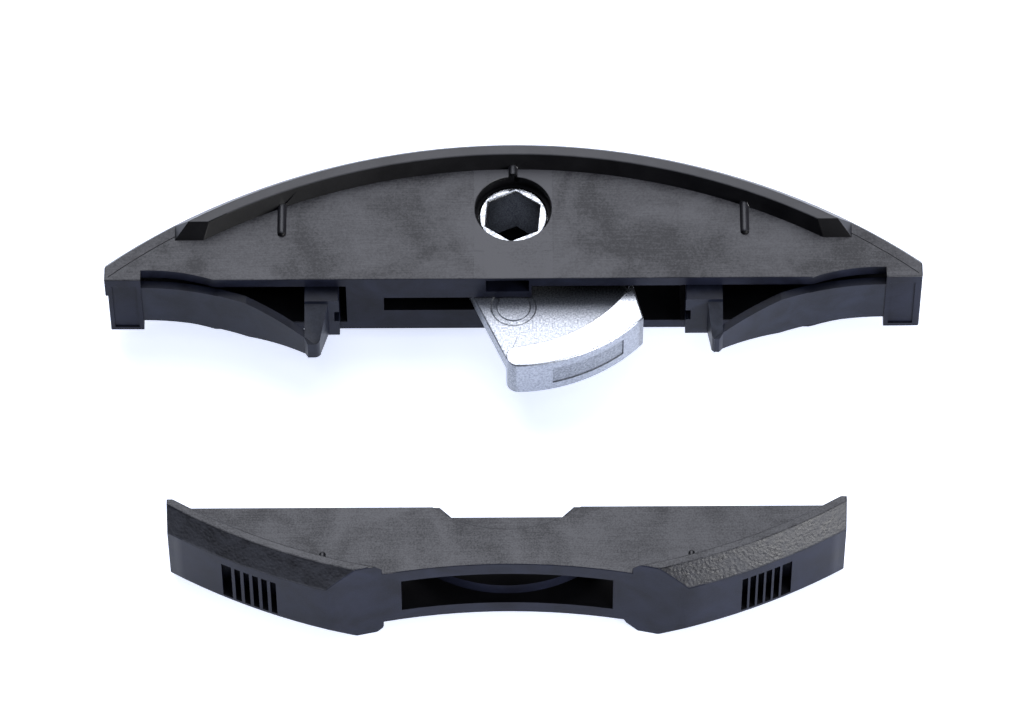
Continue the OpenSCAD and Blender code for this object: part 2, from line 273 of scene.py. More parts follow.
    def _with_scuffs(
        self, tree: bpy.types.NodeTree, place: bpy.types.NodeSocket, cloud: bpy.types.NodeSocket
    ) -> bpy.types.NodeSocket:
        """Adds long fine scuffs to the clouds.

        Args:
            tree: The material's node tree.
            place: The coordinate socket.
            cloud: The cloud value from 0 to 1.

        Returns:
            A value from 0 to 1 with the scuffs in it.
        """
        width_mm, length_mm = self.scuff_mm
        turned = add_node(
            tree,
            "ShaderNodeMapping",
            values={
                "Rotation": (0.0, 0.0, -math.radians(self.scuff_turn_deg)),
                "Scale": (per_metre(length_mm), per_metre(width_mm), per_metre(width_mm)),
            },
            links={"Vector": place},
        ).outputs["Vector"]
        streaks = add_node(
            tree,
            "ShaderNodeTexNoise",
            values={"Scale": 1.0, "Detail": 2.0, "Roughness": 0.6},
            links={"Vector": turned},
        ).outputs["Fac"]
        lit = add_node(
            tree,
            "ShaderNodeMapRange",
            {"clamp": True},
            {"From Min": 0.45, "From Max": 0.8, "To Max": self.scuff_share},
            {"Value": streaks},
        ).outputs["Result"]
        return add_node(
            tree, "ShaderNodeMath", {"operation": "ADD", "use_clamp": True}, links={0: cloud, 1: lit}
        ).outputs["Value"]

    def _with_insert_band(
        self, tree: bpy.types.NodeTree, place: bpy.types.NodeSocket, lightness: bpy.types.NodeSocket
    ) -> bpy.types.NodeSocket:
        """Lightens the band that a separate mould insert shaped.

        Args:
            tree: The material's node tree.
            place: The coordinate socket.
            lightness: The value from 0 to 1 so far.

        Returns:
            The value with the band in it.
        """
        along = add_node(tree, "ShaderNodeSeparateXYZ", links={"Vector": place}).outputs["X"]
        away = add_node(tree, "ShaderNodeMath", {"operation": "ABSOLUTE"}, links={0: along}).outputs["Value"]
        inside = add_node(
            tree, "ShaderNodeMath", {"operation": "LESS_THAN"}, {1: self.insert_mm * MM}, {0: away}
        ).outputs["Value"]
        lift = add_node(
            tree, "ShaderNodeMath", {"operation": "MULTIPLY"}, {1: self.insert_share}, {0: inside}
        ).outputs["Value"]
        return add_node(tree, "ShaderNodeMath", {"operation": "ADD"}, links={0: lightness, 1: lift}).outputs["Value"]

    def _relief(self, tree: bpy.types.NodeTree, place: bpy.types.NodeSocket) -> bpy.types.NodeSocket:
        """Makes the skin's fine relief from grain and pits.

        Args:
            tree: The material's node tree.
            place: The coordinate socket.

        Returns:
            The normal socket for the shader.
        """
        grain = add_node(
            tree,
            "ShaderNodeTexNoise",
            values={"Scale": per_metre(self.grain_mm), "Detail": 2.0, "Roughness": 0.6},
            links={"Vector": place},
        ).outputs["Fac"]
        bump = add_node(
            tree,
            "ShaderNodeBump",
            values={"Strength": 1.0, "Distance": self.grain_um * 1e-6},
            links={"Height": grain},
        )
        if self.pit_mm:
            pits = add_node(
                tree,
                "ShaderNodeTexVoronoi",
                {"feature": "F1"},
                {"Scale": per_metre(self.pit_mm), "Randomness": 1.0},
                {"Vector": place},
            ).outputs["Distance"]
            bump = add_node(
                tree,
                "ShaderNodeBump",
                values={"Strength": 1.0, "Distance": self.pit_um * 1e-6},
                links={"Height": pits, "Normal": bump.outputs["Normal"]},
            )
        return bump.outputs["Normal"]


@dataclass(frozen=True)
class DieCastZinc:
    """Zinc alloy, pressure die-cast and tumbled: a bright cool grey metal with a fine cast grain.

    Attributes:
        name: The material's name.
        bright: Colour of the burnished high spots.
        dull: Colour of the low spots.
        roughness: Mean roughness.
        roughness_spread: How far the grain changes the roughness.
        grain_mm: Size of the cast grain.
        grain_um: Height of the cast grain in micrometres.
        swirl_um: Height of the broad flow waves in micrometres, or 0 for none.
        swirl_mm: Size of those waves.
    """

    name: str
    bright: str
    dull: str
    roughness: float
    roughness_spread: float
    grain_mm: float
    grain_um: float
    swirl_um: float = 0.0
    swirl_mm: float = 3.0

    def build(self) -> bpy.types.Material:
        """Makes the material.

        Returns:
            The new material.
        """
        material = bpy.data.materials.new(self.name)
        material.use_nodes = True
        tree = material.node_tree
        tree.nodes.clear()
        place = add_node(tree, "ShaderNodeTexCoord").outputs["Object"]
        grain = add_node(
            tree,
            "ShaderNodeTexNoise",
            values={"Scale": per_metre(self.grain_mm), "Detail": 3.0, "Roughness": 0.65},
            links={"Vector": place},
        ).outputs["Fac"]
        share = add_node(
            tree,
            "ShaderNodeMapRange",
            {"clamp": True},
            {"From Min": 0.35, "From Max": 0.65},
            {"Value": grain},
        ).outputs["Result"]
        colour = add_node(
            tree,
            "ShaderNodeMix",
            {"data_type": "RGBA"},
            {MIX_A: linear(self.dull), MIX_B: linear(self.bright)},
            {"Factor": share},
        ).outputs[MIX_OUT]
        roughness = add_node(
            tree,
            "ShaderNodeMapRange",
            {"clamp": True},
            {
                "To Min": self.roughness + self.roughness_spread,
                "To Max": self.roughness - self.roughness_spread,
            },
            {"Value": share},
        ).outputs["Result"]
        bump = add_node(
            tree,
            "ShaderNodeBump",
            values={"Strength": 1.0, "Distance": self.grain_um * 1e-6},
            links={"Height": grain},
        )
        if self.swirl_um:
            swirl = add_node(
                tree,
                "ShaderNodeTexNoise",
                values={"Scale": per_metre(self.swirl_mm), "Detail": 1.0},
                links={"Vector": place},
            ).outputs["Fac"]
            bump = add_node(
                tree,
                "ShaderNodeBump",
                values={"Strength": 1.0, "Distance": self.swirl_um * 1e-6},
                links={"Height": swirl, "Normal": bump.outputs["Normal"]},
            )
        shader = add_node(
            tree,
            "ShaderNodeBsdfPrincipled",
            values={"Metallic": 1.0},
            links={"Base Color": colour, "Roughness": roughness, "Normal": bump.outputs["Normal"]},
        )
        add_node(tree, "ShaderNodeOutputMaterial", links={"Surface": shader.outputs["BSDF"]})
        return material


@dataclass(frozen=True)
class OpalTable:
    """Opal light table: a pale sheet, lit from below, that swallows shadows and lifts the undersides.

    Attributes:
        name: The material's name.
        sheet: Colour of the sheet.
        glow: Colour of its light.
        radiance: Brightness of its light, against 1 for white.
    """

    name: str
    sheet: str
    glow: str
    radiance: float

    def build(self) -> bpy.types.Material:
        """Makes the material.

        Returns:
            The new material.
        """
        material = bpy.data.materials.new(self.name)
        material.use_nodes = True
        tree = material.node_tree
        tree.nodes.clear()
        shader = add_node(
            tree,
            "ShaderNodeBsdfPrincipled",
            values={
                "Base Color": linear(self.sheet),
                "Roughness": 0.8,
                "Specular IOR Level": 0.2,
                "Emission Color": linear(self.glow),
                "Emission Strength": self.radiance,
            },
        )
        add_node(tree, "ShaderNodeOutputMaterial", links={"Surface": shader.outputs["BSDF"]})
        return material


class Finish(Enum):
    """The finishes of the connector's surfaces."""

    # Lever half's plates: matt from a worn blasted tool, with soft flow clouds and handling scuffs.
    PLATE = MouldedNylon(
        "nylon_blasted_plate", "#111115", "#2c2c30", 6.0, (0.35, 0.68), 0.45, 0.07, 0.47, 0.13, 10.0,
        scuff_mm=(0.09, 2.6), scuff_turn_deg=84.0, scuff_share=0.4, speckle=0.32, mottle=0.42, insert_mm=INSERT_X_MM,
    )
    # Counter half's plates: a shade lighter, with drag lines along the part from the tool.
    COUNTER_PLATE = MouldedNylon(
        "nylon_drawn_plate", "#151518", "#303033", 4.0, (0.3, 0.75), 0.46, 0.05, 0.5, 0.1, 7.0,
        scuff_mm=(0.07, 3.2), scuff_turn_deg=2.0, scuff_share=0.5, speckle=0.5, mottle=0.4,
    )
    # Rims and arcs: smooth as-machined tool steel gives a tighter, bluish sheen.
    RIM = MouldedNylon("nylon_smooth_rim", "#101013", "#1c1c21", 3.0, (0.3, 0.75), 0.4, 0.04, 0.45, 0.1, 3.0)
    # Joint faces: the same smooth steel, given a deeper blue-black and hardly any sheen as painted shade and a painted
    # bluish reflection, for faces turned from the light.
    FRONT = MouldedNylon("nylon_front_painted_shade", "#0b0c14", "#171a28", 3.0, (0.3, 0.75), 0.42, 0.05, 0.1, 0.1, 4.0)
    # The counter half's outer bevels: coarse spark-eroded texture that glitters under a side light.
    SPARKED = MouldedNylon(
        "nylon_spark_eroded_bevel", "#101014", "#202127", 1.2, (0.3, 0.7), 0.42, 0.08, 0.2, 0.2, 30.0,
        pit_mm=0.28, pit_um=20.0,
    )
    # Inside walls and slots: a near-black copy of the nylon with hardly any sheen, as painted shade where little light
    # reaches.
    HOLLOW = MouldedNylon("nylon_inner_wall_painted_shade", "#050507", "#0a0a0d", 3.0, (0.3, 0.75), 0.5, 0.04, 0.1, 0.12, 3.0)
    # The sprung arms, moulded in place of a tougher nylon, with their sheen cut low and their colour a little bluer:
    # painted shade and a painted bluish reflection.
    ARM = MouldedNylon("nylon_arm_painted_shade", "#0c0e16", "#181c2a", 2.5, (0.3, 0.75), 0.38, 0.05, 0.13, 0.1, 3.0)
    # The arms' sloping posts: grained like the bevels, and a lighter, glossier copy of the arms' nylon as painted
    # light on these up-turned faces.
    ARM_POST = MouldedNylon("nylon_grained_post_painted_light", "#101219", "#212530", 1.2, (0.3, 0.7), 0.42, 0.08, 0.3, 0.14, 12.0)
    # Broad flat of the cast lever: speckled cast skin, tumbled to a soft shine.
    ZINC_WEB = DieCastZinc("zinc_cast_web", "#c9ccd0", "#8d9197", 0.42, 0.08, 0.14, 4.0)
    # The claw's flat top: burnished, so bright with broad soft waves.
    ZINC_CLAW = DieCastZinc("zinc_burnished_claw", "#d6d9dc", "#a9acb1", 0.3, 0.07, 0.14, 4.0, 30.0)
    # The claw's outer face: a darker, bluer copy of the claw's zinc, as painted shade and a painted bluish reflection
    # on this face turned from the light.
    ZINC_FACE = DieCastZinc("zinc_face_painted_shade", "#b9bdc4", "#91959d", 0.34, 0.06, 0.16, 3.0, 40.0)
    # Shallow field in the claw's outer face: a coarser cast skin, and a still darker copy of the zinc as painted shade
    # in the middle of the face.
    ZINC_RECESS = DieCastZinc("zinc_recess_grain_and_shade", "#a2a6ac", "#767a80", 0.36, 0.06, 0.16, 5.0, 40.0)
    # Facets of the key socket: unburnished, and a dark copy of the zinc as painted shade for facets out of the light.
    ZINC_SOCKET = DieCastZinc("zinc_socket_painted_shade", "#6f7276", "#4a4c50", 0.5, 0.06, 0.12, 3.0)
    # Boss rim, coined bright by the tool.
    ZINC_BOSS = DieCastZinc("zinc_coined_boss", "#dfe1e3", "#7d8084", 0.2, 0.08, 0.3, 12.0, 20.0)
    # Floor of the studio: an opal sheet lit from below, even and almost without shadow.
    FLOOR = OpalTable("opal_light_table", "#f0f2f7", "#e2eaff", 0.85)
    # Uncoated black card, unlit and matt, laid only to keep the table's light out of the key socket: painted shade
    # under the socket.
    MASK = OpalTable("socket_shade_card", "#050505", "#000000", 0.0)

    def material(self) -> bpy.types.Material:
        """Returns this finish's material, made at its first use."""
        return bpy.data.materials.get(self.value.name) or self.value.build()


# ---------------------------------------------------------------------------------------------------------------------
# Mesh helpers
# ---------------------------------------------------------------------------------------------------------------------


@dataclass
class WorkedPiece:
    """A piece made from a CAD node's solid: cleaned, with eased edges and a finish for each region.

    Attributes:
        node: The CAD node that the piece stands for.
        piece: The piece's name.
        body: The CAD body that it rides on.
        slot: The record's material slot; not used.
        weld_mm: Distance under which corners are welded.
        flat_deg: Turn under which neighbouring faces are joined into one.
        sharp_deg: Turn from which an edge counts as folded.
        level: Part of a face's normal along Z from which the face counts as level.
        rounding_steps: Steps across each rounding.
    """

    node: str
    piece: str
    body: str
    slot: str
    weld_mm: float = 0.0002
    flat_deg: float = 0.3
    sharp_deg: float = 25.0
    level: float = 0.999
    rounding_steps: int = 3

    def _folded(self, edge: bmesh.types.BMEdge) -> bool:
        """Returns whether the surface turns sharply at an edge."""
        return len(edge.link_faces) == 2 and edge.calc_face_angle() >= math.radians(self.sharp_deg)

    def _cleaned(self) -> bmesh.types.BMesh:
        """Copies the node's solid, welds it and joins its coplanar faces.

        Returns:
            The cleaned mesh.
        """
        bm = bmesh.new()
        bm.from_mesh(frame["nodes"][self.node].data)
        bmesh.ops.remove_doubles(bm, verts=bm.verts, dist=self.weld_mm * MM)
        bmesh.ops.dissolve_limit(
            bm,
            angle_limit=math.radians(self.flat_deg),
            use_dissolve_boundaries=False,
            verts=bm.verts,
            edges=bm.edges,
            delimit=set(),
        )
        bm.normal_update()
        return bm

    def _ease_edges(
        self, bm: bmesh.types.BMesh, ease_mm: Callable[[Vector, Vector, float], float]
    ) -> tuple[float, int]:
        """Weighs each folded edge by the width of its rounding.

        Args:
            bm: The cleaned mesh.
            ease_mm: From an edge's middle, its direction and its signed fold, to the width of its rounding.

        Returns:
            The widest rounding in millimetres, and the number of eased edges.
        """
        weights = bm.edges.layers.float.new("bevel_weight_edge")
        widths = {}
        for edge in filter(self._folded, bm.edges):
            a, b = (v.co for v in edge.verts)
            width = ease_mm((a + b) / 2 / MM, (b - a).normalized(), edge.calc_face_angle_signed())
            if width > 0:
                widths[edge] = width
        widest = max(widths.values(), default=0.0)
        for edge in bm.edges:
            edge.smooth = edge in widths or not self._folded(edge)
        for edge, width in widths.items():
            edge[weights] = width / widest
        return widest, len(widths)

    def _add_modifiers(self, piece: bpy.types.Object, widest_mm: float) -> None:
        """Adds the roundings and the shading that keeps large flats flat.

        Args:
            piece: The object.
            widest_mm: The widest rounding, or 0 for none.
        """
        if widest_mm:
            rounding = piece.modifiers.new("eased_edges", "BEVEL")
            rounding.width = widest_mm * MM
            rounding.segments = self.rounding_steps
            rounding.limit_method = "WEIGHT"
            rounding.use_clamp_overlap = False
            rounding.harden_normals = False
            rounding.miter_outer = "MITER_SHARP"
        # Large flats keep their own normals, and the roundings take up the turn.
        shading = piece.modifiers.new("flats_stay_flat", "WEIGHTED_NORMAL")
        shading.mode = "FACE_AREA"
        shading.weight = 50
        shading.keep_sharp = True

    def make(
        self,
        ease_mm: Callable[[Vector, Vector, float], float],
        finish_of: Callable[[Vector, Vector], Finish],
        finishes: Sequence[Finish],
    ) -> bpy.types.Object:
        """Builds the piece, hangs it on its body and hides its CAD node.

        Args:
            ease_mm: From an edge's middle, its direction and its signed fold, to the width of its rounding.
            finish_of: From a face's centre and normal to its finish.
            finishes: The finishes that the piece uses.

        Returns:
            The new object.
        """
        bm = self._cleaned()
        widest_mm, eased = self._ease_edges(bm, ease_mm)
        order = list(finishes)
        for face in bm.faces:
            # Level flats keep their own normal right up to their edges.
            face.smooth = abs(face.normal.z) < self.level
            face.material_index = order.index(finish_of(face.calc_center_median() / MM, face.normal))
        mesh = bpy.data.meshes.new(self.piece)
        bm.to_mesh(mesh)
        bm.free()
        for finish in order:
            mesh.materials.append(finish.material())
        piece = bpy.data.objects.new(self.piece, mesh)
        bpy.context.scene.collection.objects.link(piece)
        self._add_modifiers(piece, widest_mm)
        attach(piece, self.body)
        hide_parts(self.node)
        LOG.info("%s: %d faces, %d eased edges, rides on %s", piece.name, len(mesh.polygons), eased, self.body)
        return piece


# ---------------------------------------------------------------------------------------------------------------------
# Sub-assemblies
# ---------------------------------------------------------------------------------------------------------------------


@dataclass
class LeverHousing:
    """The long moulded housing that carries the lever and the arms.

    Attributes:
        plate_mm: Height of the plates over the mid-plane.
        rim_ease_mm: Rounding of the rims' edges.
        rim_end_ease_mm: Rounding of the rims' edges towards their ends, where the facets are narrow.
        rim_full_x_mm: Distance from the middle up to which the rims take the full rounding.
        front_ease_mm: Rounding of the plates' edges at the joint face.
        corner_ease_mm: Rounding of the upright corners at the right end.
        end_ease_mm: Rounding of the ends' other edges and of the front's inner edges.
        end_reach_mm: Depth of the ends' region, from the right end's tip.
        inner_edge_mm: Height from which the front's inner edges are eased.
        hole_depth_mm: Distance of the key hole's centre from the joint face.
        hole_reach_mm: Radius within which an edge belongs to the key hole's mouth.
        hole_ease_mm: Rounding of the key hole's mouth.
        bevel_mm: Depth under the plates down to which the arc's bevels reach.
        bevel_start_mm: Distance from the joint face at which the bevels' finish starts.
        ramp_x_mm: Half width of the boss ramp in the front.
        ramp_depth_mm: Distance from the joint face that the ramp stays within.
        ramp_heights_mm: Lowest and highest places of that ramp.
        front_depth_mm: Distance from the joint face up to which a wall counts as front.
        window_x_mm: Distance of the arms' windows from the middle.
        window_mm: Height over the mid-plane that the windows' floors stay under.
        seam_width_mm: Width of the insert's witness ridges.
        seam_height_mm: Height of those ridges over the plate.
        seam_sunk_mm: Depth to which they reach into the plate.
        seam_front_x_mm: Distance of the front ridges from the middle.
        seam_start_mm: Start of the front ridges, from the joint face.
        seam_step_mm: Place where the ridges step outwards, from the joint face.
        seam_end_mm: End of the ridges at the rim, from the joint face.
    """

    plate_mm: float = 3.5
    rim_ease_mm: float = 0.1
    rim_end_ease_mm: float = 0.03
    rim_full_x_mm: float = 23.2
    front_ease_mm: float = 0.1
    corner_ease_mm: float = 0.25
    end_ease_mm: float = 0.08
    end_reach_mm: float = 0.25
    inner_edge_mm: float = 2.5
    hole_depth_mm: float = 6.55
    hole_reach_mm: float = 3.2
    hole_ease_mm: float = 0.07
    bevel_mm: float = 0.6
    bevel_start_mm: float = 1.5
    ramp_x_mm: float = 2.5
    ramp_depth_mm: float = 1.5
    ramp_heights_mm: tuple[float, float] = (1.6, 3.4)
    front_depth_mm: float = 1.1
    window_x_mm: float = 13.0
    window_mm: float = 2.7
    seam_width_mm: float = 0.05
    seam_height_mm: float = 0.015
    seam_sunk_mm: float = 0.02
    seam_front_x_mm: float = 2.3
    seam_start_mm: float = 0.15
    seam_step_mm: float = 2.6
    seam_end_mm: float = 10.9

    def __post_init__(self) -> None:
        """Takes the housing's place from the frame."""
        low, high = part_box("lever_housing")
        self.high_x = high.x / MM
        self.joint_y = low.y / MM
        self.mid_z = (low.z + high.z) / 2 / MM

    def ease_mm(self, middle: Vector, along: Vector, fold: float) -> float:
        """Finds the rounding of an edge of the housing.

        Args:
            middle: The edge's middle, in millimetres.
            along: The edge's direction.
            fold: The edge's signed turn, above 0 where the surface bends outwards.

        Returns:
            The rounding's width in millimetres, or 0 for a crisp edge.
        """
        height = abs(middle.z - self.mid_z)
        depth = middle.y - self.joint_y
        at_front = depth < NEAR_MM and fold > 0
        if height > self.plate_mm + NEAR_MM:
            return self.rim_ease_mm if abs(middle.x) < self.rim_full_x_mm else self.rim_end_ease_mm
        if height > self.plate_mm - NEAR_MM and at_front:
            return self.front_ease_mm
        if middle.x > self.high_x - self.end_reach_mm and abs(along.z) > ALONG:
            return self.corner_ease_mm
        if abs(middle.x) > self.high_x - self.end_reach_mm or (height > self.inner_edge_mm and at_front):
            return self.end_ease_mm
        # The key holes' mouths catch a thin line of light.
        in_mouth = math.hypot(middle.x, depth - self.hole_depth_mm) < self.hole_reach_mm
        if in_mouth and abs(height - self.plate_mm) < NEAR_MM and fold > 0:
            return self.hole_ease_mm
        return 0.0

    def finish_of(self, centre: Vector, normal: Vector) -> Finish:
        """Finds the finish of a face of the housing.

        Args:
            centre: The face's centre, in millimetres.
            normal: The face's normal.

        Returns:
            The finish.
        """
        height = abs(centre.z - self.mid_z)
        depth = centre.y - self.joint_y
        if abs(normal.z) > 0.99 and abs(height - self.plate_mm) < NEAR_MM:
            return Finish.PLATE
        # The rims' inner walls face the joint and take the near-black copy: painted shade.
        if height > self.plate_mm and normal.y < -0.5:
            return Finish.HOLLOW
        # The arc's bevels.
        slanted = normal.y > -0.5 and abs(normal.z) > 0.3
        if slanted and height > self.plate_mm - self.bevel_mm and depth > self.bevel_start_mm:
            return Finish.RIM
        # The boss ramp is part of the near wall's front, and takes its painted shade too.
        low, high = self.ramp_heights_mm
        if abs(centre.x) < self.ramp_x_mm and depth < self.ramp_depth_mm and low < height < high:
            return Finish.FRONT
        # Faces towards the joint take the blue-black copy: painted shade.
        if normal.y < -0.5 and depth < self.front_depth_mm:
            return Finish.FRONT
        # The windows' floors get some light past the arms, so they take the rims' finish and not the painted shade.
        level = normal.z > 0.9 and centre.z < self.mid_z
        if level and abs(centre.x) > self.window_x_mm and height < self.window_mm:
            return Finish.RIM
        # The rims' tops and ends, and all that faces the arc's side.
        if height > self.plate_mm or normal.y > 0.2:
            return Finish.RIM
        # All else inside takes the near-black copy: painted shade.
        return Finish.HOLLOW

    def build(self) -> list[bpy.types.Object]:
        """Builds the housing.

        Returns:
            The housing's pieces.
        """
        work = WorkedPiece("lever_housing", "lever_housing_shell", "lever_half", "housing_plastic")
        shell = work.make(
            self.ease_mm, self.finish_of, (Finish.PLATE, Finish.RIM, Finish.FRONT, Finish.HOLLOW)
        )
        return [shell, self._insert_seams()]

    def _insert_seams(self) -> bpy.types.Object:
        """Builds the fine witness ridges where the mould's key-hole insert meets the plate's steel.

        They are too small for the CAD: narrow beside the ramp, wider past the step, and sunk a hair into the plate.

        Returns:
            The ridges as one piece.
        """
        half, height, sunk = self.seam_width_mm / 2, self.seam_height_mm, self.seam_sunk_mm
        start, step, end = self.seam_start_mm, self.seam_step_mm, self.seam_end_mm
        top = self.mid_z + self.plate_mm
        strips = []
        for side in (-1, 1):
            wide, narrow = side * INSERT_X_MM, side * self.seam_front_x_mm
            strips.append((wide - half, wide + half, step, end))
            strips.append((narrow - half, narrow + half, start, step))
            inner, outer = sorted((narrow, wide))
            strips.append((inner + half, outer - half, step - half, step + half))
        bm = bmesh.new()
        for x0, x1, y0, y1 in strips:
            centre = Vector(((x0 + x1) / 2, self.joint_y + (y0 + y1) / 2, top + (height - sunk) / 2))
            box = bmesh.ops.create_cube(bm, size=1.0)["verts"]
            bmesh.ops.scale(bm, vec=Vector((x1 - x0, y1 - y0, height + sunk)) * MM, verts=box)
            bmesh.ops.translate(bm, vec=centre * MM, verts=box)
        mesh = bpy.data.meshes.new("insert_seams")
        bm.to_mesh(mesh)
        bm.free()
        mesh.materials.append(Finish.PLATE.material())
        seams = bpy.data.objects.new("insert_seams", mesh)
        bpy.context.scene.collection.objects.link(seams)
        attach(seams, "lever_half")
        LOG.info("%s: %d ridges on the lever half's plate", seams.name, len(strips))
        return seams


@dataclass
class SprungArm:
    """One of the two sprung arms that are moulded onto the lever housing.

    Attributes:
        side: Left or right, as in the arm's CAD node.
        post_x_mm: Distance from the middle within which a sloping face is the post's.
        head_x_mm: Distance from the middle within which an edge is the head's.
        head_ease_mm: Rounding of the head's end.
    """

    side: str
    post_x_mm: float = 16.6
    head_x_mm: float = 14.0
    head_ease_mm: float = 0.08

    def ease_mm(self, middle: Vector, along: Vector, fold: float) -> float:
        """Finds the rounding of an edge of the arm.

        Args:
            middle: The edge's middle, in millimetres.
            along: The edge's direction.
            fold: The edge's signed turn, above 0 where the surface bends outwards.

        Returns:
            The rounding's width in millimetres, or 0 for a crisp edge.
        """
        # Only the head's end is eased; the leaf, its small steps and the post stay crisp.
        at_head = abs(middle.x) < self.head_x_mm and abs(along.y) > ALONG
        return self.head_ease_mm if fold > 0 and at_head else 0.0

    def finish_of(self, centre: Vector, normal: Vector) -> Finish:
        """Finds the finish of a face of the arm.

        Args:
            centre: The face's centre, in millimetres.
            normal: The face's normal.

        Returns:
            The finish.
        """
        # Up-turned slopes of the post take the lighter copy: painted light.
        sloping = normal.z > 0.2 and normal.y < -0.2
        return Finish.ARM_POST if sloping and abs(centre.x) < self.post_x_mm else Finish.ARM

    def build(self) -> list[bpy.types.Object]:
        """Builds the arm.

        Returns:
            The arm's pieces.
        """
        work = WorkedPiece(f"{self.side}_sprung_arm", f"{self.side}_arm", f"{self.side}_arm", "arm_plastic")
        return [work.make(self.ease_mm, self.finish_of, (Finish.ARM, Finish.ARM_POST))]


@dataclass
class CamLever:
    """The die-cast cam lever: hub with a key socket, thin web and thick claw.

    Attributes:
        claw_inner_mm: Radius from which a face or edge belongs to the claw's thick rim.
        claw_outer_mm: Radius of the claw's outer face.
        claw_top_mm: Height over the mid-plane from which a face is the claw's top.
        claw_reach_mm: Smallest radius of that top.
        claw_ease_mm: Rounding of the claw's and the hub's edges.
        web_mm: Height over the mid-plane under which an edge is the web's.
        field_mm: Half height of the shallow field in the claw's outer face.
        field_edge_mm: Depth under the outer face within which an edge is the field's.
        field_floor_mm: Smallest radius of the field's floor.
        field_slack_mm: Depth under the outer face from which a face is the field's.
        boss_r_mm: Radius of the bosses.
        boss_inside_mm: Width of the bosses' rim, inside that radius.
        boss_outside_mm: Slack outside that radius.
        boss_top_mm: Height over the mid-plane from which an edge is a boss's end.
        boss_ease_mm: Rounding of the bosses' outer edges.
        socket_mm: Greatest radius of the key socket's facets.
        socket_ease_mm: Rounding of the key socket's mouth.
    """

    claw_inner_mm: float = 10.8
    claw_outer_mm: float = 13.6
    claw_top_mm: float = 1.7
    claw_reach_mm: float = 8.0
    claw_ease_mm: float = 0.14
    web_mm: float = 0.7
    field_mm: float = 1.1
    field_edge_mm: float = 0.3
    field_floor_mm: float = 13.0
    field_slack_mm: float = 0.04
    boss_r_mm: float = 2.67
    boss_inside_mm: float = 0.2
    boss_outside_mm: float = 0.1
    boss_top_mm: float = 2.45
    boss_ease_mm: float = 0.12
    socket_mm: float = 2.4
    socket_ease_mm: float = 0.17

    def __post_init__(self) -> None:
        """Takes the lever's axis from the frame."""
        joint = next(j for j in frame["joints"] if j["name"] == "lever_turn")
        self.axis = Vector(joint["pos_m"]) / MM

    def from_axis(self, point: Vector) -> float:
        """Returns a point's distance from the lever's axis."""
        return math.hypot(point.x - self.axis.x, point.y - self.axis.y)

    def ease_mm(self, middle: Vector, along: Vector, fold: float) -> float:
        """Finds the rounding of an edge of the lever.

        Args:
            middle: The edge's middle, in millimetres.
            along: The edge's direction.
            fold: The edge's signed turn, above 0 where the surface bends outwards.

        Returns:
            The rounding's width in millimetres, or 0 for a crisp edge.
        """
        radius = self.from_axis(middle)
        height = abs(middle.z - self.axis.z)
        if height > self.boss_top_mm and radius < self.boss_r_mm - self.boss_inside_mm:
            return self.socket_ease_mm
        if height > self.boss_top_mm and radius < self.boss_r_mm + self.boss_outside_mm:
            return self.boss_ease_mm
        # Upright edges stay as cast: the facets beside them are too narrow to round.
        if abs(along.z) > ALONG:
            return 0.0
        # The rim of the shallow field in the outer face stays crisp.
        if height < self.field_mm and radius > self.claw_outer_mm - self.field_edge_mm:
            return 0.0
        if fold > 0 and (radius > self.claw_inner_mm or height > self.web_mm):
            return self.claw_ease_mm
        return 0.0

    def finish_of(self, centre: Vector, normal: Vector) -> Finish:
        """Finds the finish of a face of the lever.

        Args:
            centre: The face's centre, in millimetres.
            normal: The face's normal.

        Returns:
            The finish.
        """
        radius = self.from_axis(centre)
        # The socket's facets take the dark copy: painted shade.
        if radius < self.socket_mm and abs(normal.z) < 0.5:
            return Finish.ZINC_SOCKET
        if radius < self.boss_r_mm + self.boss_outside_mm:
            return Finish.ZINC_BOSS
        if abs(centre.z - self.axis.z) > self.claw_top_mm and radius > self.claw_reach_mm:
            return Finish.ZINC_CLAW
        # Upright faces of the claw take darker copies of the zinc, the field the darkest: painted shade.
        if abs(normal.z) < 0.3 and radius > self.claw_inner_mm:
            field_top = self.claw_outer_mm - self.field_slack_mm
            in_field = normal.y < -0.5 and self.field_floor_mm < radius < field_top
            return Finish.ZINC_RECESS if in_field else Finish.ZINC_FACE
        return Finish.ZINC_WEB

    def build(self) -> list[bpy.types.Object]:
        """Builds the lever.

        Returns:
            The lever's pieces.
        """
        work = WorkedPiece("cam_lever", "cast_cam_lever", "lever", "lever_zinc")
        finishes = (
            Finish.ZINC_WEB,
            Finish.ZINC_CLAW,
            Finish.ZINC_FACE,
            Finish.ZINC_RECESS,
            Finish.ZINC_SOCKET,
            Finish.ZINC_BOSS,
        )
        return [work.make(self.ease_mm, self.finish_of, finishes)]


